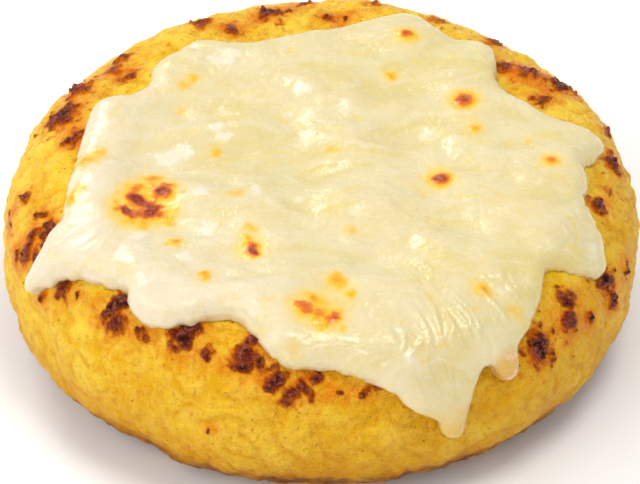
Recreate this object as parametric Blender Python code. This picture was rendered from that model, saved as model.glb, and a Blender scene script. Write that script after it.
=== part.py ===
"""An arepa: a thick hand-patted corn cake under a sheet of melted cheese.

Metres, +Z up. The cake lies flat on its base at z = 0, centred on the Z axis, and the cheese's long
drip runs down the side that faces -Y.

Both pieces are laid out on one skin: the surface that the cake's profile sweeps round the Z axis. A place
on the skin is an angle round the axis and a run, the distance along the profile from the middle of the top.
The plane that has these two as its polar coordinates is called the flat plane. The cheese's outline and
its triangles are laid out there and then wrapped onto the skin.
"""

import math

import bmesh
import bpy
import numpy as np
from mathutils import Vector, geometry, noise

MM = 0.001

# Driving dimensions of the cake.
CAKE_RADIUS = 52.1 * MM
CAKE_HEIGHT = 31 * MM
SHOULDER_WIDTH = 14.2 * MM  # how far in from the side the flat top and the flat base start
SHOULDER_POWER = 2.15  # 2 rounds the side as an ellipse, and more makes it squarer
TOP_DISH = 0.6 * MM  # how far the middle of the top lies below its rim

# Hand-patted unevenness: waves round the rim as (how many, height, turn in degrees), and lumps in the dough.
RIM_WAVES = ((2, 0.15 * MM, -50), (3, 0.15 * MM, -110), (6, 0.25 * MM, 130))
LUMP_SIZE = 10 * MM
LUMP_HEIGHT = 1.0 * MM

# Driving dimensions of the cheese.
SHEET_CENTRE = (0, -8 * MM)
SHEET_RADIUS = 43.3 * MM
CHEESE_THICKNESS = 2.0 * MM
LIP_RISE = 1.8 * MM  # how much thicker the sheet is where it heaped up near its edge
LIP_FROM_EDGE = 4.5 * MM
THICKEST_LIP = math.radians(230)  # the lip is fullest on this side, and there is none opposite
EDGE_ROUND = 2.8 * MM
CONTACT_GAP = 0.3 * MM

# Where the edge runs out into a lobe or, with a minus, back into a bay:
# the angle in degrees, how far, and half of its width in degrees.
LOBES = (
    (6, 5.7 * MM, 6),
    (32, -3.7 * MM, 17),
    (45, 5.3 * MM, 9),
    (67, 5.4 * MM, 10),
    (107, -3.4 * MM, 15),
    (125, 1.6 * MM, 5),
    (150, -4.3 * MM, 8),
    (163, 0.5 * MM, 5),
    (185, -3.2 * MM, 22),
    (208, 9.5 * MM, 4),
    (226, -4.0 * MM, 6),
    (236, -1.0 * MM, 7),
    (251, -9.0 * MM, 11),
    (272, -2.5 * MM, 7),
    (289, 3.5 * MM, 8),
    (308, 2.0 * MM, 5),
    (322, -3.0 * MM, 4),
    (334, 6.0 * MM, 6),
    (346, -1.4 * MM, 2),
    (358, -1.2 * MM, 2),
)

# Drips, which run straight from a root to a round tip. Both ends are (angle in degrees, run, radius).
LONG_DRIP_SHOULDER = ((291.3, 48.0 * MM, 7.4 * MM), (291.7, 50.6 * MM, 7.4 * MM))
LONG_DRIP = ((292.8, 53.0 * MM, 3.2 * MM), (293, 60.0 * MM, 2.9 * MM))
SHORT_DRIP = ((304, 50.0 * MM, 3.0 * MM), (304, 53.3 * MM, 2.7 * MM))
DRIP_BLEND = 2.0 * MM

# Facet sizes.
CAKE_SUBDIVISIONS = 5
OUTLINE_STEP = 2.0 * MM
EDGE_RINGS = (0.4 * MM, 1.2 * MM, 2.6 * MM)  # distances in from the outline
SHEET_STEP = 3.4 * MM


def cake_profile():
    """The points (radius, height) of the profile: along the top, down the side and back under the base."""
    flat = CAKE_RADIUS - SHOULDER_WIDTH
    half = CAKE_HEIGHT / 2
    share = np.linspace(0, 1, 40)
    turn = share * math.pi / 2
    out = flat + SHOULDER_WIDTH * np.sin(turn) ** (2 / SHOULDER_POWER)
    rise = half * np.cos(turn) ** (2 / SHOULDER_POWER)
    top = np.stack([flat * share, CAKE_HEIGHT - TOP_DISH * (1 - share**2) ** 2], axis=1)
    upper = np.stack([out, half + rise], axis=1)
    lower = np.stack([out, half - rise], axis=1)[::-1]
    base = np.stack([flat * share[::-1], np.zeros(len(share))], axis=1)
    return np.concatenate([top, upper[1:], lower[1:], base[1:]])


PROFILE = cake_profile()
RUNS = np.concatenate([[0], np.cumsum(np.linalg.norm(np.diff(PROFILE, axis=0), axis=1))])


def on_profile(run):
    """The profile's radius and height at a run."""
    return Vector((np.interp(run, RUNS, PROFILE[:, 0]), np.interp(run, RUNS, PROFILE[:, 1])))


def unevenness(angle, place):
    """How far the hand-patted skin stands out from the profile at a place. It fades out towards the base."""
    waves = sum(size * math.cos(count * angle - math.radians(turn)) for count, size, turn in RIM_WAVES)
    towards_rim = (place.to_2d().length / CAKE_RADIUS) ** 4
    lumps = LUMP_HEIGHT * noise.noise(place / LUMP_SIZE)
    clear_of_base = min(1.0, place.z / (0.3 * CAKE_HEIGHT))
    return (waves * towards_rim + lumps) * clear_of_base


def on_skin(angle, run, lift=0.0):
    """The point of the skin at an angle and a run, moved out along the profile's normal by lift."""
    radius, height = on_profile(run)
    along = on_profile(run + 1.5 * MM) - on_profile(max(run - 1.5 * MM, 0))
    place = Vector((radius * math.cos(angle), radius * math.sin(angle), height))
    normal = Vector((-along.y * math.cos(angle), -along.y * math.sin(angle), along.x)).normalized()
    return place + normal * (lift + unevenness(angle, place))


def in_flat_plane(angle, run):
    """The point of the flat plane at an angle in degrees and a run."""
    return Vector((run * math.cos(math.radians(angle)), run * math.sin(math.radians(angle))))


def sheet_reach(angle):
    """The run of the sheet's edge, without its drips, at an angle in degrees."""
    ray = in_flat_plane(angle, 1)
    centre = Vector(SHEET_CENTRE)
    along = ray.dot(centre)
    reach = along + math.sqrt(SHEET_RADIUS**2 - centre.length_squared + along**2)
    for middle, size, width in LOBES:
        off = (angle - middle + 180) % 360 - 180
        reach += size * math.exp(-((off / width) ** 2))
    return reach


def drip_distance(point, drip):
    """How far a point of the flat plane is outside a drip."""
    (root_angle, root_run, root_radius), (tip_angle, tip_run, tip_radius) = drip
    root = in_flat_plane(root_angle, root_run)
    along = in_flat_plane(tip_angle, tip_run) - root
    share = max(0.0, min(1.0, (point - root).dot(along) / along.length_squared))
    return (point - root - along * share).length - root_radius - (tip_radius - root_radius) * share


def smooth_min(a, b, blend):
    """The smaller of two distances, with a fillet of about that size where they meet."""
    near = max(blend - abs(a - b), 0.0) / blend
    return min(a, b) - near * near * blend / 4


def outside_cheese(point):
    """A measure that is 0 on the cheese's outline in the flat plane, above 0 outside it and below 0 inside."""
    measure = point.length - sheet_reach(math.degrees(math.atan2(point.y, point.x)))
    for drip in (LONG_DRIP_SHOULDER, LONG_DRIP, SHORT_DRIP):
        measure = smooth_min(measure, drip_distance(point, drip), DRIP_BLEND)
    return measure


def steepest(point):
    """The direction in which outside_cheese grows fastest, as long as its rate of growth."""
    step = 0.05 * MM
    growth = [outside_cheese(point + d) - outside_cheese(point - d) for d in (Vector((step, 0)), Vector((0, step)))]
    return Vector(growth) / (2 * step)


def onto_outline(point):
    """Moves a point of the flat plane straight onto the cheese's outline."""
    for _ in range(8):
        slope = steepest(point)
        point = point - slope * outside_cheese(point) / slope.length_squared
    return point


def trace_outline():
    """Walks once round the cheese and returns evenly spaced points of its outline in the flat plane."""
    points = [onto_outline(in_flat_plane(90, SHEET_RADIUS))]
    while len(points) < 4 or (points[-1] - points[0]).length > 0.8 * OUTLINE_STEP:
        slope = steepest(points[-1]).normalized()
        points.append(onto_outline(points[-1] + Vector((-slope.y, slope.x)) * OUTLINE_STEP))
    return points


def depth_in_cheese(point, outline):
    """How far a point of the flat plane is in from the nearest place on the outline."""
    start = np.array(outline)
    side = np.roll(start, -1, axis=0) - start
    to_point = np.array(point) - start
    share = np.clip((to_point * side).sum(axis=1) / (side**2).sum(axis=1), 0, 1)
    return float(np.linalg.norm(to_point - side * share[:, None], axis=1).min())


def edge_ring(outline, inset):
    """The points inset from the outline, without those that come too near another stretch of it."""
    ring = []
    for before, here, after in zip(outline[-1:] + outline, outline, outline[1:] + outline[:1]):
        along = (after - before).normalized()
        point = here + Vector((-along.y, along.x)) * inset
        if outside_cheese(point) < 0 and depth_in_cheese(point, outline) > 0.9 * inset:
            ring.append(point)
    return ring


def inner_grid(outline):
    """Points on a triangular grid that covers the sheet inside its rings."""
    row_height = SHEET_STEP * math.sqrt(3) / 2
    rows = math.ceil(1.5 * SHEET_RADIUS / row_height)
    clear = EDGE_RINGS[-1] + 0.6 * SHEET_STEP
    points = []
    for row in range(-rows, rows + 1):
        for column in range(-rows, rows + 1):
            point = Vector(((column + row % 2 / 2) * SHEET_STEP, row * row_height))
            if outside_cheese(point) < 0 and depth_in_cheese(point, outline) > clear:
                points.append(point)
    return points


def cheese_thickness(point, depth):
    """The cheese's thickness at a point of the flat plane that is depth in from the outline.

    The edge is round where the lip is full and tapers more gently where there is none.
    """
    fullness = (0.5 + 0.5 * math.cos(math.atan2(point.y, point.x) - THICKEST_LIP)) ** 3
    edge = (1 - (1 - min(depth / EDGE_ROUND, 1.0)) ** 2) ** (0.9 - 0.4 * fullness)
    heaped = LIP_RISE * fullness * math.exp(-(((depth - LIP_FROM_EDGE) / LIP_FROM_EDGE) ** 2))
    rolling = 0.7 * MM * noise.noise(Vector((point.x, point.y, 0)) / (12 * MM))
    return edge * (CHEESE_THICKNESS + heaped + rolling)


def finish(shape, name, colour, roughness):
    """Makes the named object from a bmesh, with its material."""
    mesh = bpy.data.meshes.new(name)
    shape.to_mesh(mesh)
    shape.free()
    mesh.shade_smooth()
    material = bpy.data.materials.new(name)
    material.use_nodes = True
    shader = material.node_tree.nodes["Principled BSDF"]
    shader.inputs["Base Color"].default_value = (*colour, 1)
    shader.inputs["Roughness"].default_value = roughness
    shader.inputs["Metallic"].default_value = 0
    mesh.materials.append(material)
    made = bpy.data.objects.new(name, mesh)
    bpy.context.collection.objects.link(made)
    return made


def corn_cake():
    """The cake: a ball of even triangles whose latitudes are spread evenly along the profile."""
    shape = bmesh.new()
    bmesh.ops.create_icosphere(shape, subdivisions=CAKE_SUBDIVISIONS, radius=1)
    for vertex in shape.verts:
        polar = math.acos(max(-1.0, min(1.0, vertex.co.z)))
        angle = math.atan2(vertex.co.y, vertex.co.x)
        vertex.co = on_skin(angle, polar / math.pi * RUNS[-1])
    return finish(shape, "corn_cake", (0.86, 0.58, 0.13), 0.45)


def melted_cheese():
    """The cheese: triangles that fill its outline are wrapped onto the skin twice, as its top and underside."""
    outline = trace_outline()
    rings = [point for inset in EDGE_RINGS for point in edge_ring(outline, inset)]
    around = len(outline)
    sides = [(i, (i + 1) % around) for i in range(around)]
    filled = geometry.delaunay_2d_cdt(outline + rings + inner_grid(outline), sides, [], 1, 1e-9)
    shape = bmesh.new()
    upper, lower = [], []
    for point, origins in zip(filled[0], filled[3]):
        angle, run = math.atan2(point.y, point.x), point.length
        under = shape.verts.new(on_skin(angle, run, CONTACT_GAP))
        over = under
        if min(origins) >= around:
            thickness = cheese_thickness(point, depth_in_cheese(point, outline))
            over = shape.verts.new(on_skin(angle, run, CONTACT_GAP + thickness))
        lower.append(under)
        upper.append(over)
    for triangle in filled[2]:
        shape.faces.new([upper[i] for i in triangle])
        shape.faces.new([lower[i] for i in reversed(triangle)])
    return finish(shape, "melted_cheese", (0.93, 0.87, 0.66), 0.35)


def centre_on_axis(pieces):
    """Shifts the pieces sideways so that the middle of their common box is on the Z axis."""
    corners = [vertex.co for piece in pieces for vertex in piece.data.vertices]
    middle = [(min(c[axis] for c in corners) + max(c[axis] for c in corners)) / 2 for axis in (0, 1)]
    for piece in pieces:
        for vertex in piece.data.vertices:
            vertex.co -= Vector((*middle, 0))


def main():
    for old in list(bpy.data.objects):
        bpy.data.objects.remove(old)
    centre_on_axis([corn_cake(), melted_cheese()])


main()
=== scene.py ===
"""The looks of the arepa: a browned corn cake under glossy melted cheese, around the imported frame."""

import math

import bpy
import numpy as np
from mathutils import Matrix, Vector, noise
from mathutils.bvhtree import BVHTree


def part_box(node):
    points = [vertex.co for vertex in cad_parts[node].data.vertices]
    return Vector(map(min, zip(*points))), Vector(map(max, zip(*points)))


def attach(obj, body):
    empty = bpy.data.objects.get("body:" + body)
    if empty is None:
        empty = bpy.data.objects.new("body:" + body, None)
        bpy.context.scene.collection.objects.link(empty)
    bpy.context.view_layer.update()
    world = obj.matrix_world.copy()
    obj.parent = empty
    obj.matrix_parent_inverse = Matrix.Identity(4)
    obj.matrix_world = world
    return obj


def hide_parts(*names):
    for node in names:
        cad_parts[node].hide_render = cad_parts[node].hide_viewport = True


MM = 0.001

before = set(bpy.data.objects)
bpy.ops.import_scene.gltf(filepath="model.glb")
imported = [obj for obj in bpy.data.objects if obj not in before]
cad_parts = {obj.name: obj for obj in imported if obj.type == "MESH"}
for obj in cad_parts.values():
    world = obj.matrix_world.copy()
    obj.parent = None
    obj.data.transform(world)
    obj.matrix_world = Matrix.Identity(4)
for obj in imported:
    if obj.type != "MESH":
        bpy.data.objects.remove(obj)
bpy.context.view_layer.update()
cake_low, cake_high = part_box("corn_cake")

# The cake's section, as part.py draws it.
CAKE_RADIUS = (cake_high.x - cake_low.x + cake_high.y - cake_low.y) / 4
CAKE_HEIGHT = 31 * MM
SHOULDER_WIDTH = 14.2 * MM
SHOULDER_POWER = 2.15

# Browned spots of the cake: angle in degrees, run, radius and darkness. A run is the distance over the
# surface from the middle of the top.
CAKE_SPOTS = (
    (102, 41, 1.8, 0.95),
    (118, 43, 1.5, 0.65),
    (113, 38, 1.5, 0.7),
    (94, 44, 1.3, 0.6),
    (144, 43, 1.8, 0.6),
    (140, 44, 1.5, 0.6),
    (145, 39, 1.6, 0.55),
    (154, 44.5, 1.9, 0.75),
    (151, 47, 1.3, 0.7),
    (163, 45, 2.6, 1.0),
    (172, 41, 1.5, 0.75),
    (170, 40, 1.3, 0.7),
    (186, 48.5, 1.0, 0.8),
    (194, 47, 0.8, 0.8),
    (198, 46, 1.0, 0.85),
    (199.5, 47.5, 1.0, 0.9),
    (199, 50, 1.0, 0.7),
    (200, 51.5, 1.2, 0.95),
    (203, 48, 1.1, 0.9),
    (203, 50, 1.1, 0.75),
    (198, 54, 0.7, 0.95),
    (197, 53, 0.4, 0.9),
    (192, 54, 0.35, 0.9),
    (186, 53, 0.3, 0.9),
    (189, 53, 0.3, 0.8),
    (214, 50, 1.3, 0.8),
    (210, 53.5, 0.6, 1.0),
    (218, 49, 0.4, 0.8),
    (227, 46.5, 1.8, 0.95),
    (226, 48.5, 1.5, 0.9),
    (229, 49, 1.4, 0.85),
    (233, 48.5, 0.8, 0.75),
    (235, 48.5, 0.7, 0.65),
    (243, 45.5, 1.5, 0.95),
    (242, 47, 1.7, 1.0),
    (248, 48, 0.9, 0.7),
    (256, 45, 1.2, 0.85),
    (255, 47, 1.5, 0.8),
    (258, 47.5, 1.2, 0.8),
    (256, 49, 1.2, 0.9),
    (254, 49, 1.0, 0.7),
    (262, 50, 1.5, 0.95),
    (265, 52, 1.5, 0.75),
    (267, 51, 1.2, 0.7),
    (269, 49, 1.4, 0.8),
    (273, 51.5, 0.35, 1.1),
    (277, 52, 0.4, 1.1),
    (280, 51, 0.9, 0.8),
    (251, 60, 0.3, 0.9),
    (312, 53, 2.3, 1.0),
    (322, 49.5, 1.2, 0.9),
    (320, 52, 1.4, 0.7),
    (320, 53, 0.8, 0.95),
    (325, 55, 0.5, 1.2),
    (334, 57, 1.0, 1.3),
    (334, 53, 1.9, 1.0),
    (342, 55.5, 0.6, 1.2),
    (348, 46, 1.5, 0.9),
    (355, 48, 1.0, 0.5),
    (5, 49, 1.8, 0.85),
    (16, 50, 1.3, 0.7),
    (39, 39, 1.6, 0.6),
    (34, 42, 2.0, 0.65),
    (29, 45.5, 1.9, 1.0),
    (29, 48, 1.3, 0.8),
    (36, 42, 1.4, 0.7),
    (24, 40, 1.4, 0.8),
    (49, 45, 1.6, 0.6),
    (63, 44.5, 1.6, 0.5),
    (78, 44, 1.4, 0.5),
    (89, 38, 1.0, 0.6),
    (84, 39, 0.6, 0.7),
)

# Browned blisters of the cheese: the same four numbers.
CHEESE_SPOTS = (
    (64, 32.5, 1.3, 0.8),
    (60, 23, 1.0, 0.5),
    (28, 26.5, 1.9, 0.85),
    (11, 25.5, 1.1, 0.5),
    (354, 37, 1.3, 0.6),
    (3, 33.5, 0.8, 0.3),
    (338, 20.5, 1.5, 1.0),
    (306, 42, 1.1, 0.5),
    (309, 46.5, 1.6, 0.28),
    (274, 33, 1.6, 0.5),
    (277, 36, 0.9, 0.45),
    (266.5, 39.5, 1.5, 0.7),
    (272.5, 41, 1.5, 0.75),
    (268, 37.5, 1.5, 0.5),
    (269.5, 40.5, 1.9, 0.55),
    (258, 39.5, 1.5, 0.22),
    (265, 46, 1.6, 0.2),
    (247, 28, 1.2, 0.9),
    (244, 26, 1.0, 0.5),
    (241, 23, 1.3, 0.35),
    (241, 37, 1.2, 0.5),
    (226, 33, 1.2, 0.55),
    (196, 28, 1.4, 0.55),
    (203, 27.5, 1.8, 0.95),
    (204, 32, 1.7, 1.1),
    (200, 31.5, 1.5, 0.6),
    (207, 31, 1.5, 0.95),
    (208, 35, 1.6, 1.1),
    (210, 31, 1.5, 1.15),
    (209, 33, 2.0, 0.75),
    (214, 29.5, 1.7, 0.5),
    (212, 35.5, 1.3, 0.45),
    (214, 34, 1.1, 0.45),
    (198, 41, 1.6, 0.45),
    (186, 38, 1.7, 0.5),
    (184, 36, 1.3, 0.4),
    (144, 28, 1.5, 0.35),
    (139, 28, 1.2, 0.4),
    (156, 25, 1.5, 0.3),
    (182, 17, 1.0, 0.4),
    (220, 18, 1.5, 0.3),
    (7, 2, 1.4, 0.3),
    (282, 21, 1.4, 0.3),
)

# Patches where the cheese is whiter, partly white clots and partly painted highlights: the same four numbers.
WHITE_AND_GLINT_SPOTS = (
    (185, 25, 2.2, 0.9),
    (182, 22.5, 2.0, 0.9),
    (168, 16, 1.4, 0.9),
    (161, 18, 1.3, 0.8),
    (190, 39, 1.8, 0.5),
    (197, 38, 1.8, 0.5),
    (201, 41.5, 1.8, 0.5),
    (211, 22.5, 1.4, 0.8),
    (212, 26.5, 1.2, 0.6),
    (228, 27, 1.8, 0.8),
    (232, 34.5, 1.3, 0.7),
    (124, 29, 2.0, 0.9),
    (120, 29, 1.4, 0.8),
    (101, 16, 1.5, 0.9),
    (188, 34, 1.2, 0.6),
    (218, 36, 1.6, 0.6),
    (309, 43, 1.3, 0.45),
    (333, 47, 1.6, 0.5),
    (286, 48, 1.6, 0.45),
    (254, 13, 1.3, 0.5),
    (226, 15, 1.4, 0.6),
    (70, 12, 1.6, 0.5),
    (14, 18, 2.4, 0.45),
)

# The short drip, which is thin enough to look pinkish: the same four numbers.
THIN_SPOTS = ((304, 53.5, 3.2, 1.0),)

PROFILE_POINTS = 120  # in each of the section's four stretches
NORMAL_REACH = 1.5 * MM  # how far either side of a place its normal is measured
SKIN_CHUNK = 5000  # points matched to the section at a time, which keeps the arrays small


def cake_profile():
    """The section's radii and heights: along the top, down the side and back under the base."""
    flat = CAKE_RADIUS - SHOULDER_WIDTH
    half = CAKE_HEIGHT / 2
    share = np.linspace(0, 1, PROFILE_POINTS)
    turn = share * math.pi / 2
    out = flat + SHOULDER_WIDTH * np.sin(turn) ** (2 / SHOULDER_POWER)
    rise = half * np.cos(turn) ** (2 / SHOULDER_POWER)
    top = np.stack([flat * share, np.full(len(share), CAKE_HEIGHT)], axis=1)
    upper = np.stack([out, half + rise], axis=1)
    lower = np.stack([out, half - rise], axis=1)[::-1]
    base = np.stack([flat * share[::-1], np.zeros(len(share))], axis=1)
    return np.concatenate([top, upper[1:], lower[1:], base[1:]])


PROFILE = cake_profile()
RUNS = np.concatenate([[0], np.cumsum(np.linalg.norm(np.diff(PROFILE, axis=0), axis=1))])


def section_at(run):
    """The section's radius and height at each run."""
    return np.stack([np.interp(run, RUNS, PROFILE[:, axis]) for axis in (0, 1)], axis=-1)


def on_profile(run):
    """Radius and height, and the outward normal's radius and height, at each run."""
    along = section_at(run + NORMAL_REACH) - section_at(run - NORMAL_REACH)
    along = along / np.linalg.norm(along, axis=-1, keepdims=True)
    return section_at(run), np.stack([-along[..., 1], along[..., 0]], axis=-1)


def on_skin(angle, run, lift=0.0):
    """Points at an angle and a run, lifted off the plain section's surface."""
    place, normal = on_profile(run)
    radius, height = np.moveaxis(place + normal * np.asarray(lift)[..., None], -1, 0)
    return np.stack([radius * np.cos(angle), radius * np.sin(angle), height], axis=-1)


def from_skin(points):
    """The angle, run and lift of points: the reverse of on_skin."""
    angle = np.arctan2(points[:, 1], points[:, 0])
    section = np.stack([np.hypot(points[:, 0], points[:, 1]), points[:, 2]], axis=1)
    parts = np.array_split(section, max(1, len(section) // SKIN_CHUNK))
    nearest = [((part[:, None] - PROFILE[None]) ** 2).sum(axis=2).argmin(axis=1) for part in parts]
    run = RUNS[np.concatenate(nearest)]
    for _ in range(3):  # each round slides the run to where the section's normal meets the point
        place, normal = on_profile(run)
        off = section - place
        run = run + off[:, 0] * normal[:, 1] - off[:, 1] * normal[:, 0]
    place, normal = on_profile(run)
    return angle, run, ((section - place) * normal).sum(axis=1)


def outward(angle, run):
    """The plain section's outward normal, as a direction in space, at each angle and run."""
    _, normal = on_profile(run)
    return np.stack([normal[:, 0] * np.cos(angle), normal[:, 0] * np.sin(angle), normal[:, 1]], axis=1)


def turn_from(direction, angle):
    """The shortest turn, in radians, from a direction in degrees to each angle."""
    return np.angle(np.exp(1j * (angle - math.radians(direction))))


def facing(direction, angle):
    """1 on the side that faces a direction in degrees, falling to 0 a quarter turn away and beyond."""
    return np.clip(np.cos(angle - math.radians(direction)), 0, 1)


# ---- Patterns ----


def noise_at(points, size, seed=0.0):
    """Smooth noise of a given lump size, about -0.6 to 0.6, at each point. A seed shifts it elsewhere."""
    return np.fromiter((noise.noise(p) for p in (points / size + seed).tolist()), float, len(points))


def crumpled(points, size, seed, power=1.0):
    """Noise folded at 0, which gives swellings between sharp creases."""
    return np.abs(noise_at(points, size, seed)) ** power


def step_between(low, high, value):
    """0 at low, 1 at high and smooth between. Where low is above high, it falls instead of rising."""
    share = np.clip((value - low) / (high - low), 0, 1)
    return share * share * (3 - 2 * share)


def ridges(values, sharpness, slope=2.2):
    """Turns noise into thin ridges along the lines where it is 0."""
    return np.clip(1 - slope * np.abs(values), 0, 1) ** sharpness


def terraces(values, steps):
    """Turns a smooth slope into level steps with soft edges."""
    level = np.floor(values * steps)
    return (level + step_between(0.3, 0.7, values * steps - level)) / steps


def seams(values, steps, width=0.09):
    """1 along the lines where terraces rises from one level to the next, and 0 elsewhere."""
    across = values * steps - np.floor(values * steps)
    return np.exp(-(((across - 0.5) / width) ** 2))


def blurred(grid, times):
    """A grid of rows by columns, averaged with its neighbours. The columns run round the axis."""
    for _ in range(times):
        padded = np.concatenate([grid[:1], grid, grid[-1:]])
        grid = (padded[:-2] + padded[1:-1] + padded[2:]) / 3
        grid = (np.roll(grid, 1, axis=1) + grid + np.roll(grid, -1, axis=1)) / 3
    return grid


def skin_radius(run):
    """The distance from the axis at each run."""
    return np.interp(run, RUNS, PROFILE[:, 0])


def spot_distances(angle, run, spots):
    """Spot by spot: the distance over the skin from each place, and the spot's radius and darkness."""
    across = skin_radius(run)
    for spot_angle, spot_run, radius, darkness in spots:
        aside = turn_from(spot_angle, angle) * across
        yield np.hypot(aside, run - spot_run * MM), radius * MM, darkness


def spot_strength(angle, run, spots, ragged):
    """How strongly browned each place is: the strongest of the spots, whose edges are ragged."""
    strength = np.zeros(len(angle))
    for distance, radius, darkness in spot_distances(angle, run, spots):
        strength = np.maximum(strength, darkness * np.exp(-((distance * (1 + ragged) / radius) ** 2)))
    return strength


def glow_strength(angle, run, spots, spread):
    """The coloured band round the spots, which joins up where they are close together."""
    clear = np.ones(len(angle))
    for distance, radius, darkness in spot_distances(angle, run, spots):
        clear *= 1 - darkness * np.exp(-((distance / (radius + spread)) ** 2))
    return 1 - clear


# ---- Pieces ----


def new_piece(name, vertices, faces):
    """A smooth-shaded object made of vertices and faces."""
    mesh = bpy.data.meshes.new(name)
    mesh.from_pydata(vertices.tolist(), [], faces)
    mesh.update()
    mesh.shade_smooth()
    piece = bpy.data.objects.new(name, mesh)
    bpy.context.collection.objects.link(piece)
    return piece


def keep_values(piece, name, values):
    """Stores one number per vertex for the material to read."""
    attribute = piece.data.attributes.new(name, "FLOAT", "POINT")
    attribute.data.foreach_set("value", np.asarray(values, np.float32))


# ---- The cake ----

# Facets of the cake: rows along its section and columns round its axis.
COLUMNS = 720
FINE_STEP = 0.46 * MM
COARSE_STEP = 4 * MM
FINE_FROM = 31 * MM
FINE_TO = 84 * MM
PROBE = 6 * MM  # how far outside the skin the rays that measure the CAD cake start
RELIEF_BLUR = 20  # rounds of averaging that take the CAD's facets out of the relief

# The dough's surface detail: how wide and how high each kind is.
FOLD_SIZE, FOLD_HEIGHT = 11 * MM, 0.7 * MM
LUMP_SIZE, LUMP_HEIGHT = 5 * MM, 0.5 * MM
CRUMB_SIZE, CRUMB_HEIGHT = 2.2 * MM, 0.5 * MM
GRAIN_SIZE, GRAIN_HEIGHT = 1.0 * MM, 0.2 * MM
BUBBLE_SIZE, BUBBLE_HEIGHT = 1.4 * MM, 1.1 * MM
FINE_BUBBLE_SIZE = 0.8 * MM
CRUST_HEIGHT = 0.1 * MM  # how far a browned spot stands out, before its bubbles
DETAIL_MEAN = 0.6 * MM  # taken off again, so that the detail stands about the CAD's surface
SHOWN_HEIGHTS = (0.5 * MM, 5 * MM)  # the heights above the floor between which the detail fades in

# The dough's colours: where each one begins and is full, as runs.
# Painted shade on one side, and the amber under the cake, which is partly browning and partly painted shade.
SIDE_SHADE_RUNS = (44 * MM, 56 * MM)
UNDER_RUNS = (56 * MM, 74 * MM)
FOOT_RUNS = (68 * MM, 73 * MM)
SHADED_SIDE = 318  # the side, in degrees, where painted shade darkens the dough
SIDE_SHADE_SHARE = 0.5
CHAR_WANDER = 1.3 * MM  # how far the outlines of the browned spots stray
TOAST_SPREAD = 2.0 * MM  # how far the toasted bands reach beyond the spots


def cake_rows():
    """The runs of the cake's rows: close together where it shows and far apart elsewhere."""
    top = np.arange(COARSE_STEP, FINE_FROM, COARSE_STEP)
    fine = np.arange(FINE_FROM, FINE_TO, FINE_STEP)
    base = np.arange(FINE_TO, RUNS[-1] - COARSE_STEP / 2, COARSE_STEP)
    return np.concatenate([top, fine, base])


def cad_relief(rows, columns):
    """How far the CAD cake stands out from the plain section at each row and column."""
    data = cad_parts["corn_cake"].data
    tree = BVHTree.FromPolygons([v.co for v in data.vertices], [p.vertices for p in data.polygons])
    angle, run = np.meshgrid(columns, rows)
    start = on_skin(angle.ravel(), run.ravel(), PROBE)
    end = on_skin(angle.ravel(), run.ravel())
    relief = np.zeros(len(start))
    for i, (a, b) in enumerate(zip(start.tolist(), end.tolist())):
        hit = tree.ray_cast(Vector(a), Vector(b) - Vector(a), 2 * PROBE)
        relief[i] = PROBE - hit[3] if hit[3] is not None else 0
    return blurred(relief.reshape(angle.shape), RELIEF_BLUR)


def grid_faces(rows, columns):
    """Quads between the rows and a fan at each end. The two poles come after the grid's points."""
    faces = []
    for row in range(rows - 1):
        for column in range(columns):
            after = (column + 1) % columns
            here, below = row * columns, (row + 1) * columns
            faces.append((here + column, below + column, below + after, here + after))
    last = (rows - 1) * columns
    for column in range(columns):
        after = (column + 1) % columns
        faces.append((rows * columns, column, after))
        faces.append((rows * columns + 1, last + after, last + column))
    return faces


rows = cake_rows()
columns = np.linspace(0, 2 * math.pi, COLUMNS, endpoint=False)
relief = cad_relief(rows, columns)


def relief_at(angle, run):
    """The CAD cake's relief at any angle and run."""
    column = np.mod(angle, 2 * math.pi) / (2 * math.pi) * COLUMNS
    row = np.interp(run, rows, np.arange(len(rows)))
    c0, r0 = np.floor(column).astype(int), np.minimum(row.astype(int), len(rows) - 2)
    c, r = column - c0, row - r0
    c0, c1 = c0 % COLUMNS, (c0 + 1) % COLUMNS
    near = relief[r0, c0] * (1 - c) + relief[r0, c1] * c
    far = relief[r0 + 1, c0] * (1 - c) + relief[r0 + 1, c1] * c
    return near * (1 - r) + far * r


def cake_char(points, angle, run):
    """How strongly each place on the cake is browned, in spots with ragged outlines."""
    ragged = 0.6 * noise_at(points, 1.5 * MM, 11.0) + 0.5 * noise_at(points, 0.8 * MM, 5.0)
    sideways = CHAR_WANDER * noise_at(points, 2.4 * MM, 41.0)
    outwards = CHAR_WANDER * noise_at(points, 2.4 * MM, 47.0)
    turn = sideways / (skin_radius(run) + 1 * MM)
    return spot_strength(angle + turn, run + outwards, CAKE_SPOTS, ragged)


def cake_toast(angle, run):
    """The toasted bands round the browned spots, stronger at the back than at the front."""
    return glow_strength(angle, run, CAKE_SPOTS, TOAST_SPREAD) * (0.85 + 0.25 * np.sin(angle))


def cake_amber_and_shade(angle, run):
    """Where the dough is amber: painted shade partly on one side, and wholly under the cake, where it is
    partly browning and partly painted shade.
    """
    shade_and_amber = SIDE_SHADE_SHARE * facing(SHADED_SIDE, angle) * step_between(*SIDE_SHADE_RUNS, run)
    return np.maximum(shade_and_amber, step_between(*UNDER_RUNS, run))


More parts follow.
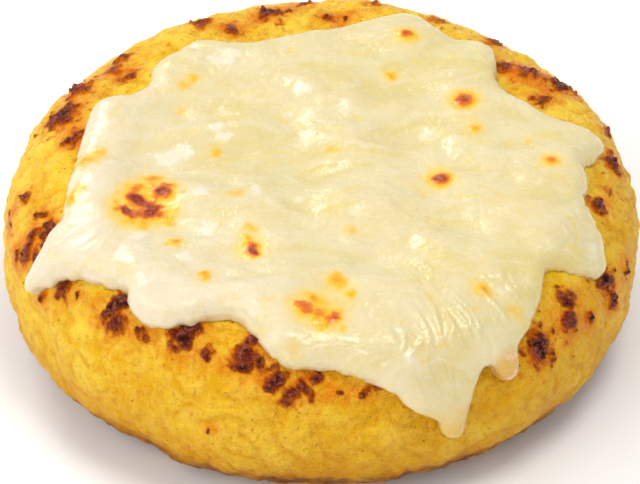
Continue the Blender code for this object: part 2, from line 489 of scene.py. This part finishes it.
def make_cake():
    """The browned cake: a fine grid laid over the CAD cake, with folds, crumbs and crusts."""
    angle, run = (g.ravel() for g in np.meshgrid(columns, rows))
    plain = on_skin(angle, run, relief.ravel())
    folds = crumpled(plain, FOLD_SIZE, 51.0, 0.7)
    lumps = crumpled(plain, LUMP_SIZE, 0.0, 0.8)
    crumbs = crumpled(plain, CRUMB_SIZE, 7.0, 0.8)
    grains = noise_at(plain, GRAIN_SIZE, 3.0)
    dough = FOLD_HEIGHT * folds + LUMP_HEIGHT * lumps + CRUMB_HEIGHT * crumbs + GRAIN_HEIGHT * grains
    char = cake_char(plain, angle, run)
    bubbles = crumpled(plain, BUBBLE_SIZE, 21.0) + 0.4 * crumpled(plain, FINE_BUBBLE_SIZE, 23.0)
    crust = step_between(0.2, 0.55, char) * (CRUST_HEIGHT + BUBBLE_HEIGHT * bubbles)
    shown = step_between(*SHOWN_HEIGHTS, plain[:, 2])
    points = on_skin(angle, run, relief.ravel() + (dough - DETAIL_MEAN + crust) * shown)
    poles = np.array([[0, 0, CAKE_HEIGHT + relief[0].mean()], [0, 0, 0]])
    piece = new_piece("browned_cake", np.concatenate([points, poles]), grid_faces(len(rows), COLUMNS))
    # What the dough's material reads, and its value at the pole under the cake. It is 0 at the top's pole.
    looks = {
        "char": (char, 0),
        "toast": (cake_toast(angle, run), 0),
        "lump": (lumps, 0),
        "fold": (folds, 0),
        # base: painted shade on one side, and the underside's browning with painted shade.
        "base": (cake_amber_and_shade(angle, run), 1),
        "foot": (step_between(*FOOT_RUNS, run), 1),
    }
    for name, (values, below) in looks.items():
        keep_values(piece, name, np.concatenate([values, [0, below]]))
    return piece


# ---- The cheese ----

FACET = 0.39 * MM  # the size of the cheese's facets
WELD_DISTANCE = 0.01 * MM
SMOOTHING_ROUNDS = 8  # they take the steps of the remeshing away

# Where the sheet was drawn outwards into streaks: the angle and half of the width in degrees, and how much.
PULLS = ((298, 14, 0.94), (338, 11, 0.7), (210, 12, 0.4))
PULL_EVERYWHERE = 0.06  # how much in all the other places
PULL_RUNS = (26 * MM, 44 * MM)  # where the streaks fade in
PULL_END_RUNS = (57 * MM, 51 * MM)  # where they fade out again, which leaves the drips smooth
FLOW_RADIUS = 40 * MM
FLOW_STRETCH = 8.0  # how much longer the streaks are than wide
SHEET_GRAIN = (0.45, 1, 1)  # the sheet's veils are drawn out along X

# The cheese's surface detail: how wide and how high each kind is.
ROLL_SIZE, ROLL_HEIGHT = 10 * MM, 0.25 * MM
VEIL_SIZE, VEIL_HEIGHT, VEIL_STEPS = 8 * MM, 0.6 * MM, 7
THIN_VEIL_SIZE, THIN_VEIL_HEIGHT, THIN_VEIL_STEPS = 4 * MM, 0.3 * MM, 4
SEAM_STEPS = 2.6
CRINKLE_SIZE, CRINKLE_HEIGHT = 1.1 * MM, 0.11 * MM
STREAK_SIZE, STREAK_HEIGHT, STREAK_SHARPNESS = 1.4 * MM, 0.42 * MM, 4
BULGE_SIZE, BULGE_HEIGHT = 3.5 * MM, 0.9 * MM
NOTCH_SIZE, NOTCH_HEIGHT = 1.5 * MM, 0.4 * MM
WARP_SIZE, WARP_REACH = 5 * MM, 2.0 * MM  # how the veils and streaks are bent
BLISTER_HEIGHT = 0.35 * MM
BLISTER_ROUGHNESS = 0.3 * MM
CLOT_HEIGHT = 0.1 * MM
SINK = 0.55 * MM  # how far the cheese's underside goes into the cake, which closes the CAD's gap
UPPER_DEPTHS = (0.5 * MM, 1.6 * MM)  # the heights above the dough between which detail fades in

# The cheese's colours: where each one begins and is full, as runs.
# The whiter side is partly the thick lip's own colour and partly painted light on the lit side.
MILKY_AND_LIT_RUNS = (12 * MM, 46 * MM)
DRIP_TAN_AND_SHADE_RUNS = (54 * MM, 60 * MM)
MILKY_AND_LIT_SIDE = 205  # the side, in degrees, where the cheese is whitest: the thick lip's own colour and painted light
HALO_SPREAD = 1.6 * MM  # how far the blisters' yellow halos reach beyond them
FULL_DEPTH = 3 * MM  # cheese as deep as this shows no cake through it


def cheese_body():
    """The CAD cheese with its facets rounded off, as fine even quads."""
    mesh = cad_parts["melted_cheese"].data.copy()
    rough = bpy.data.objects.new("rough_cheese", mesh)
    bpy.context.collection.objects.link(rough)
    weld = rough.modifiers.new("weld", "WELD")
    weld.merge_threshold = WELD_DISTANCE
    rounding = rough.modifiers.new("rounding", "SUBSURF")
    rounding.levels = rounding.render_levels = 2
    fine = rough.modifiers.new("fine", "REMESH")
    fine.mode = "VOXEL"
    fine.voxel_size = FACET
    soften = rough.modifiers.new("soften", "SMOOTH")
    soften.factor = 0.5
    soften.iterations = SMOOTHING_ROUNDS
    settled = bpy.data.meshes.new_from_object(rough.evaluated_get(bpy.context.evaluated_depsgraph_get()))
    bpy.data.objects.remove(rough)
    settled.materials.clear()
    piece = bpy.data.objects.new("glossy_cheese", settled)
    bpy.context.collection.objects.link(piece)
    return piece


def vertex_array(mesh, what="vertices", key="co"):
    """The mesh's points, or its vertex normals, as rows of three numbers."""
    values = np.zeros(len(mesh.vertices) * 3)
    getattr(mesh, what).foreach_get(key, values)
    return values.reshape(-1, 3)


def pull_at(angle, run):
    """How strongly the sheet was drawn out into streaks at each place. The drips are left smooth."""
    pulled = np.full(len(angle), PULL_EVERYWHERE)
    for direction, width, amount in PULLS:
        pulled += amount * np.exp(-((turn_from(direction, angle) / math.radians(width)) ** 2))
    return pulled * step_between(*PULL_RUNS, run) * step_between(*PULL_END_RUNS, run)


def streaks_at(points, angle, run, warp):
    """Thin ridges that run outwards from the middle, in patches."""
    flow = np.stack([FLOW_RADIUS * np.cos(angle), FLOW_RADIUS * np.sin(angle), run / FLOW_STRETCH], axis=1)
    streaks = ridges(noise_at(flow + 0.4 * warp, STREAK_SIZE, 2.0), STREAK_SHARPNESS)
    return streaks * step_between(-0.2, 0.1, noise_at(points, 6 * MM, 71.0))


def crinkles_at(points):
    """Fine crinkles in patches, fewer towards the left."""
    fine = 1 - 2 * crumpled(points * SHEET_GRAIN, CRINKLE_SIZE, 19.0)
    patches = step_between(-0.15, 0.2, noise_at(points, 7 * MM, 29.0))
    return fine * patches * step_between(-30 * MM, 25 * MM, points[:, 0])


def cheese_marks(points, angle, run):
    """The browned blisters, the white clots with painted highlights, and the noise that makes their outlines
    ragged.
    """
    ragged = 0.45 * noise_at(points, 1.4 * MM, 13.0) + 0.35 * noise_at(points, 0.7 * MM, 4.0)
    sideways = 1.0 * MM * noise_at(points, 2.2 * MM, 41.0)
    turn = sideways / (skin_radius(run) + 1 * MM)
    torn = 0.3 + 0.7 * step_between(25 * MM, -5 * MM, points[:, 0])  # blisters on the right are rounder
    brown_edges = ragged * torn - 0.1
    brown = spot_strength(angle + turn * torn, run + sideways * torn, CHEESE_SPOTS, brown_edges)
    clots_and_glints = spot_strength(angle + turn, run + sideways, WHITE_AND_GLINT_SPOTS, ragged)
    return brown, clots_and_glints, ragged


def sheet_layers(points, warp):
    """The overlapping veils of the sheet, the thinner veils over them, and the seams between them."""
    drawn = points * SHEET_GRAIN
    folded = noise_at(drawn + warp, VEIL_SIZE, 17.0)
    thin_veils = terraces(noise_at(drawn - warp, THIN_VEIL_SIZE, 27.0), THIN_VEIL_STEPS)
    seam = seams(folded, SEAM_STEPS) * step_between(-0.1, 0.15, noise_at(points, 6 * MM, 37.0))
    return terraces(folded, VEIL_STEPS), thin_veils, seam


def uneven_edge(points, normals, outwards):
    """Bulges and notches of the sheet's edge, which is where its surface stands steep on the cake's."""
    steepness = 1 - np.abs((normals * outwards).sum(axis=1))
    bulges = BULGE_HEIGHT * noise_at(points, BULGE_SIZE, 61.0)
    notches = NOTCH_HEIGHT * noise_at(points, NOTCH_SIZE, 67.0)
    return steepness * (bulges + notches)


def make_cheese():
    """The melted cheese: the CAD sheet with veils, streaks and blisters on its upper side."""
    piece = cheese_body()
    mesh = piece.data
    points = vertex_array(mesh)
    normals = vertex_array(mesh, "vertex_normals", "vector")
    angle, run, lift = from_skin(points)
    depth = lift - relief_at(angle, run)
    top = step_between(*UPPER_DEPTHS, depth)
    warp = WARP_REACH * noise_at(points, WARP_SIZE, 31.0)[:, None]
    veils, thin_veils, seam = sheet_layers(points, warp)
    brown, clots_and_glints, ragged = cheese_marks(points, angle, run)
    pulled = pull_at(angle, run)
    rolls = noise_at(points, ROLL_SIZE, 5.0) + 0.4 * noise_at(points, 4.5 * MM, 9.0)
    detail = ROLL_HEIGHT * rolls
    detail += (VEIL_HEIGHT * veils + THIN_VEIL_HEIGHT * thin_veils) * (1 - 0.7 * pulled)
    detail += CRINKLE_HEIGHT * crinkles_at(points) * (1 - 0.8 * pulled)
    detail += STREAK_HEIGHT * streaks_at(points, angle, run, warp) * pulled
    detail += step_between(0.15, 0.85, brown) * (BLISTER_HEIGHT + BLISTER_ROUGHNESS * ragged)
    detail += CLOT_HEIGHT * step_between(0.2, 0.7, clots_and_glints)
    outwards = outward(angle, run)
    raised = detail * top + uneven_edge(points, normals, outwards)
    moved = points + normals * raised[:, None] - outwards * (SINK * (1 - top))[:, None]
    mesh.vertices.foreach_set("co", moved.ravel())
    mesh.update()
    mesh.shade_smooth()
    looks = {
        "brown": brown * top,
        "halo": glow_strength(angle, run, CHEESE_SPOTS, HALO_SPREAD) * top,
        "clots_and_glints": clots_and_glints * top,
        "thin": spot_strength(angle, run, THIN_SPOTS, 0),
        # white: the thick lip's own whiteness and painted light on the lit side.
        "white": step_between(*MILKY_AND_LIT_RUNS, run) * facing(MILKY_AND_LIT_SIDE, angle),
        # drip: tan, partly thin cheese over the dough and partly painted shade.
        "drip": step_between(*DRIP_TAN_AND_SHADE_RUNS, run),
        "veil": veils + 0.5 * thin_veils,
        "seam": seam,
        "depth": np.clip(depth / FULL_DEPTH, 0, 1),
    }
    for name, values in looks.items():
        keep_values(piece, name, values)
    return piece


# ---- Materials ----


def srgb(red, green, blue):
    """A colour given as 0 to 255 display values, as the linear numbers that shaders take."""
    linear = [c / 255 / 12.92 if c <= 10 else ((c / 255 + 0.055) / 1.055) ** 2.4 for c in (red, green, blue)]
    return (*linear, 1.0)


DOUGH = srgb(240, 189, 24)
LIGHT_DOUGH = srgb(249, 211, 62)
DOUGH_CREASE_SHADE = srgb(221, 155, 4)
DOUGH_FOLD_SHADE = srgb(236, 176, 8)
DRY_DOUGH = srgb(250, 210, 78)
DOUGH_GRAIN = srgb(250, 214, 96)
AMBER_AND_SHADED_DOUGH = srgb(202, 132, 0)
DOUGH_FOOT = srgb(110, 58, 4)
DOUGH_SPECK = srgb(140, 90, 22)
TOASTED = srgb(226, 124, 12)
CHAR_RIM = srgb(204, 96, 16)
CHAR = srgb(128, 44, 26)
BLACK_CHAR = srgb(40, 10, 16)
PAINTED_CHAR_GLINT = srgb(172, 94, 86)

CHEESE = srgb(217, 200, 136)
LIGHT_CHEESE = srgb(221, 208, 160)
VEIL = srgb(228, 214, 178)
OIL = srgb(228, 202, 108)
SEAM = srgb(230, 198, 92)
FLECK = srgb(232, 220, 188)
MILKY_AND_LIT = srgb(229, 217, 194)
CLOT_AND_GLINT = srgb(234, 226, 206)
SHALLOW_CHEESE = srgb(224, 186, 96)
DRIP_TAN_AND_SHADE = srgb(216, 174, 68)
THIN_DRIP = srgb(212, 164, 62)
THIN_DRIP_HIGHLIGHT = srgb(240, 200, 178)
HALO = srgb(240, 200, 56)
GOLD = srgb(237, 184, 12)
ORANGE = srgb(222, 110, 0)
DARK_BROWN = srgb(124, 24, 0)
RED_BROWN = srgb(172, 56, 4)


class Nodes:
    """Short calls for building one material's node tree."""

    def __init__(self, name):
        self.material = bpy.data.materials.new(name)
        self.material.use_nodes = True
        self.tree = self.material.node_tree
        self.shader = self.tree.nodes["Principled BSDF"]
        self.coordinates = self.tree.nodes.new("ShaderNodeTexCoord").outputs["Object"]

    def link(self, value, socket):
        if isinstance(value, bpy.types.NodeSocket):
            self.tree.links.new(value, socket)
        else:
            socket.default_value = value

    def value(self, name):
        """What keep_values stored under a name."""
        node = self.tree.nodes.new("ShaderNodeAttribute")
        node.attribute_name = name
        return node.outputs["Fac"]

    def noise(self, size, detail=3.0, roughness=0.55, distortion=0.0, stretch=(1, 1, 1)):
        mapping = self.tree.nodes.new("ShaderNodeMapping")
        mapping.inputs["Scale"].default_value = stretch
        self.link(self.coordinates, mapping.inputs["Vector"])
        node = self.tree.nodes.new("ShaderNodeTexNoise")
        self.link(mapping.outputs["Vector"], node.inputs["Vector"])
        node.inputs["Scale"].default_value = 1 / size
        node.inputs["Detail"].default_value = detail
        node.inputs["Roughness"].default_value = roughness
        node.inputs["Distortion"].default_value = distortion
        return node.outputs["Fac"]

    def cells(self, size):
        """The distance to the nearest of many scattered points, in cell sizes."""
        node = self.tree.nodes.new("ShaderNodeTexVoronoi")
        self.link(self.coordinates, node.inputs["Vector"])
        node.inputs["Scale"].default_value = 1 / size
        return node.outputs["Distance"]

    def maths(self, operation, a, b):
        node = self.tree.nodes.new("ShaderNodeMath")
        node.operation = operation
        self.link(a, node.inputs[0])
        self.link(b, node.inputs[1])
        return node.outputs[0]

    def add(self, a, b):
        return self.maths("ADD", a, b)

    def times(self, a, b):
        return self.maths("MULTIPLY", a, b)

    def uneven(self, name, size, detail, amount):
        """A stored value with noise of a given size added to it."""
        wobble = self.maths("SUBTRACT", self.noise(size, detail), 0.5)
        return self.add(self.value(name), self.times(wobble, amount))

    def between(self, value, low, high, to_low=0.0, to_high=1.0):
        """Takes low..high to to_low..to_high with a smooth step."""
        node = self.tree.nodes.new("ShaderNodeMapRange")
        node.interpolation_type = "SMOOTHSTEP"
        self.link(value, node.inputs["Value"])
        node.inputs["From Min"].default_value = low
        node.inputs["From Max"].default_value = high
        node.inputs["To Min"].default_value = to_low
        node.inputs["To Max"].default_value = to_high
        return node.outputs["Result"]

    def mix(self, share, a, b):
        """Colour a, with a share of colour b over it."""
        node = self.tree.nodes.new("ShaderNodeMix")
        node.data_type = "RGBA"
        self.link(share, node.inputs["Factor"])
        colours = [s for s in node.inputs if s.type == "RGBA"]
        self.link(a, colours[0])
        self.link(b, colours[1])
        return [s for s in node.outputs if s.type == "RGBA"][0]

    def bump(self, height, distance):
        node = self.tree.nodes.new("ShaderNodeBump")
        node.inputs["Distance"].default_value = distance
        self.link(height, node.inputs["Height"])
        return node.outputs["Normal"]

    def surface(self, colour, roughness, normal):
        """Links what varies over the surface to the shader."""
        self.link(colour, self.shader.inputs["Base Color"])
        self.link(roughness, self.shader.inputs["Roughness"])
        self.link(normal, self.shader.inputs["Normal"])

    def constants(self, settings):
        """Sets the shader's inputs that are the same all over."""
        for name, value in settings.items():
            self.shader.inputs[name].default_value = value


def dough_colour(n):
    """The yellow dough: patches, creases darkened with painted shade, grain, a side darkened with painted
    shade, the amber underside that is partly browning and partly painted shade, the dark foot, and specks.
    """
    patches = n.between(n.noise(6 * MM, 5, 0.65, 0.8), 0.36, 0.64)
    dough = n.mix(patches, DOUGH, LIGHT_DOUGH)
    # Painted shade: darker dough in the creases between the lumps and between the folds.
    dough = n.mix(n.times(n.between(n.value("lump"), 0.4, 0.05), 0.6), dough, DOUGH_CREASE_SHADE)
    dough = n.mix(n.times(n.between(n.value("fold"), 0.3, 0.1), 0.6), dough, DOUGH_FOLD_SHADE)
    away_from_amber_and_shade = n.between(n.value("base"), 0.0, 1.0, 1.0, 0.0)
    pale = n.times(n.between(n.noise(3.2 * MM, 6, 0.7, 0.6), 0.44, 0.66, 0.0, 0.8), away_from_amber_and_shade)
    dough = n.mix(pale, dough, DRY_DOUGH)
    grain = n.times(n.between(n.noise(0.9 * MM, 3, 0.6), 0.48, 0.72, 0.0, 0.35), away_from_amber_and_shade)
    dough = n.mix(grain, dough, DOUGH_GRAIN)
    # Painted shade on one side, and under the cake over the underside's browning.
    shade_and_amber = n.times(n.value("base"), n.between(n.noise(8 * MM, 4), 0.25, 0.6, 0.5, 1.0))
    dough = n.mix(shade_and_amber, dough, AMBER_AND_SHADED_DOUGH)
    foot = n.times(n.value("foot"), n.between(n.noise(4 * MM, 4), 0.35, 0.6, 0.3, 1.0))
    dough = n.mix(foot, dough, DOUGH_FOOT)
    specks = n.times(n.between(n.cells(1.8 * MM), 0.15, 0.07), n.between(n.noise(4 * MM), 0.4, 0.55))
    return n.mix(n.times(specks, 0.7), dough, DOUGH_SPECK)


def browned_dough(n, dough):
    """The dough's colour with the toasted bands and the charred spots over it, and painted highlights on the
    char.
    """
    dough = n.mix(n.between(n.uneven("toast", 2.5 * MM, 4, 1.4), 0.1, 0.98), dough, TOASTED)
    char = n.uneven("char", 1.0 * MM, 4, 0.9)
    dough = n.mix(n.between(char, 0.0, 0.36, 0.0, 0.9), dough, CHAR_RIM)
    dough = n.mix(n.between(char, 0.3, 0.62), dough, CHAR)
    dough = n.mix(n.between(char, 0.66, 1.0), dough, BLACK_CHAR)
    # Painted highlights: pinkish-grey glints in patches on the charred spots.
    char_glints = n.times(n.between(n.noise(0.7 * MM, 2), 0.5, 0.62), n.between(n.value("char"), 0.3, 0.65, 0.0, 0.75))
    return n.mix(char_glints, dough, PAINTED_CHAR_GLINT)


def cake_material():
    n = Nodes("corn_dough")
    colour = browned_dough(n, dough_colour(n))
    greasy = n.times(n.value("toast"), -0.22)
    roughness = n.add(n.between(n.noise(3 * MM, 3), 0.3, 0.7, 0.4, 0.54), greasy)
    crust = n.times(n.noise(0.8 * MM, 3, 0.6), n.between(n.value("char"), 0.15, 0.6, 0.0, 2.0))
    grain = n.add(n.noise(1.3 * MM, 4, 0.6), n.times(n.noise(0.5 * MM, 3, 0.6), 0.4))
    n.surface(colour, roughness, n.bump(n.add(grain, crust), 1.0 * MM))
    n.constants(
        {
            "Subsurface Weight": 0.25,
            "Subsurface Radius": (1.0, 0.55, 0.15),
            "Subsurface Scale": 1.2 * MM,
            "Specular IOR Level": 0.24,
            "Specular Tint": (1.0, 0.78, 0.3, 1),
        }
    )
    return n.material


def sheet_colour(n):
    """The cheese sheet: patches, veils, oily places, whiter places with painted light on one side, and clots
    with painted highlights.
    """
    patches = n.between(n.noise(6 * MM, 4, 0.55, 1.2, SHEET_GRAIN), 0.38, 0.62)
    cheese = n.mix(patches, CHEESE, LIGHT_CHEESE)
    cheese = n.mix(n.times(n.between(n.value("veil"), -0.25, 0.35), 0.4), cheese, VEIL)
    oil = n.times(n.between(n.noise(4 * MM, 4, 0.55, 1.5, SHEET_GRAIN), 0.56, 0.72), 0.5)
    cheese = n.mix(oil, cheese, OIL)
    seam = n.times(n.value("seam"), n.between(n.noise(3 * MM, 3), 0.35, 0.6, 0.0, 0.6))
    cheese = n.mix(seam, cheese, SEAM)
    flecks = n.times(n.between(n.noise(2.6 * MM, 4, 0.6, 1.0, SHEET_GRAIN), 0.6, 0.68), 0.45)
    cheese = n.mix(flecks, cheese, FLECK)
    # Whiter towards one side: the thick lip's own colour and painted light.
    milky_and_lit = n.times(n.value("white"), n.between(n.noise(5 * MM, 4, 0.6, 1.0), 0.35, 0.6, 0.45, 0.9))
    cheese = n.mix(milky_and_lit, cheese, MILKY_AND_LIT)
    # Partly white clots and partly painted highlights.
    clots_and_glints = n.between(n.uneven("clots_and_glints", 1.5 * MM, 3, 0.5), 0.15, 0.65, 0.0, 0.75)
    return n.mix(clots_and_glints, cheese, CLOT_AND_GLINT)


def thinned_cheese(n, cheese):
    """The cheese's colour where it is shallow and lets the dough show: its edges and drips, which also carry
    painted shade, with a painted highlight on the short drip.
    """
    cheese = n.mix(n.times(n.between(n.value("depth"), 0.6, 0.1), 0.5), cheese, SHALLOW_CHEESE)
    # Tan drips: partly thin cheese over the dough and partly painted shade.
    cheese = n.mix(n.times(n.value("drip"), 0.85), cheese, DRIP_TAN_AND_SHADE)
    cheese = n.mix(n.between(n.value("thin"), 0.2, 0.8, 0.0, 0.85), cheese, THIN_DRIP)
    # Painted highlight: pinkish-white patches on the top of the short drip.
    painted_highlight = n.times(n.between(n.value("thin"), 0.1, 0.5), n.between(n.noise(1.6 * MM, 3), 0.5, 0.6))
    return n.mix(n.times(painted_highlight, 0.6), cheese, THIN_DRIP_HIGHLIGHT)


def browned_cheese(n, cheese):
    """The cheese's colour with the blisters over it: a yellow halo, gold, orange and a brown core."""
    cheese = n.mix(n.between(n.uneven("halo", 2 * MM, 3, 0.4), 0.1, 0.9, 0.0, 0.8), cheese, HALO)
    brown = n.uneven("brown", 0.9 * MM, 3, 0.25)
    cheese = n.mix(n.between(brown, 0.08, 0.42), cheese, GOLD)
    cheese = n.mix(n.between(brown, 0.36, 0.62), cheese, ORANGE)
    core = n.mix(n.between(n.noise(0.8 * MM, 2), 0.4, 0.6), DARK_BROWN, RED_BROWN)
    return n.mix(n.between(brown, 0.58, 0.9), cheese, core)


def cheese_material():
    n = Nodes("melted_cheese_look")
    colour = browned_cheese(n, thinned_cheese(n, sheet_colour(n)))
    satin = n.times(n.value("white"), 0.07)
    roughness = n.add(n.between(n.noise(4 * MM, 3), 0.35, 0.65, 0.14, 0.32), satin)
    heights = n.add(n.noise(1.8 * MM, 4, 0.6, 0.8), n.times(n.noise(0.7 * MM, 2), 0.3))
    n.surface(colour, roughness, n.bump(heights, 0.18 * MM))
    n.constants(
        {
            "Subsurface Weight": 0.35,
            "Subsurface Radius": (1.0, 0.8, 0.45),
            "Subsurface Scale": 1.8 * MM,
            "Specular IOR Level": 0.5,
            "Specular Tint": (1.0, 0.92, 0.7, 1),
            "Coat Weight": 0.35,
            "Coat Roughness": 0.12,
        }
    )
    return n.material


# ---- The studio ----

FLOOR_REACH = 3.0
LAMP_COLOUR = (1, 0.98, 0.96)
WORLD_STRENGTH = 0.65

# The lamps: name, place, size and power in watts. They all point at the top of the cake.
LAMPS = (
    ("key", (-0.7, -0.55, 0.6), 1.1, 5.1),
    ("back", (-0.4, 0.68, 0.6), 0.4, 2.8),
    ("top", (0.2, -0.1, 0.9), 0.35, 2.6),
)

CAMERA_DISTANCE = 630 * MM
CAMERA_RISE = math.radians(40)
CAMERA_AIM = Vector((-0.2 * MM, 0, 13.4 * MM))
SENSOR_WIDTH = 36  # Blender takes the sensor and the lens in millimetres
LENS = 215.3


def make_floor():
    near, far = -FLOOR_REACH, FLOOR_REACH
    corners = np.array([(near, near, 0), (far, near, 0), (far, far, 0), (near, far, 0)])
    floor = new_piece("floor", corners, [(0, 1, 2, 3)])
    material = bpy.data.materials.new("pale_floor")
    material.use_nodes = True
    shader = material.node_tree.nodes["Principled BSDF"]
    shader.inputs["Base Color"].default_value = (0.93, 0.93, 0.93, 1)
    shader.inputs["Roughness"].default_value = 0.9
    shader.inputs["Specular IOR Level"].default_value = 0.1
    floor.data.materials.append(material)


def aim(thing, place, target):
    """Puts a lamp or a camera at a place, pointing at a target."""
    thing.location = place
    thing.rotation_euler = (Vector(target) - Vector(place)).to_track_quat("-Z", "Y").to_euler()


def add_lamp(name, place, size, power):
    lamp = bpy.data.lights.new(name, "AREA")
    lamp.shape = "DISK"
    lamp.size = size
    lamp.energy = power
    lamp.color = LAMP_COLOUR
    light = bpy.data.objects.new(name, lamp)
    bpy.context.collection.objects.link(light)
    aim(light, place, (0, 0, CAKE_HEIGHT))


def light_scene():
    world = bpy.data.worlds.new("studio")
    bpy.context.scene.world = world
    world.use_nodes = True
    background = world.node_tree.nodes["Background"]
    background.inputs["Color"].default_value = (1, 1, 1, 1)
    background.inputs["Strength"].default_value = WORLD_STRENGTH
    for name, place, size, power in LAMPS:
        add_lamp(name, place, size, power)
    bpy.context.scene.view_settings.view_transform = "Standard"


def add_camera():
    data = bpy.data.cameras.new("camera")
    data.sensor_width = SENSOR_WIDTH
    data.lens = LENS
    camera = bpy.data.objects.new("camera", data)
    bpy.context.collection.objects.link(camera)
    back = Vector((0, -math.cos(CAMERA_RISE), math.sin(CAMERA_RISE)))
    aim(camera, CAMERA_AIM + back * CAMERA_DISTANCE, CAMERA_AIM)
    bpy.context.scene.camera = camera


def main():
    cake = make_cake()
    cake.data.materials.append(cake_material())
    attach(cake, "root")
    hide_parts("corn_cake")
    cheese = make_cheese()
    cheese.data.materials.append(cheese_material())
    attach(cheese, "root")
    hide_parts("melted_cheese")
    make_floor()
    light_scene()
    add_camera()


main()
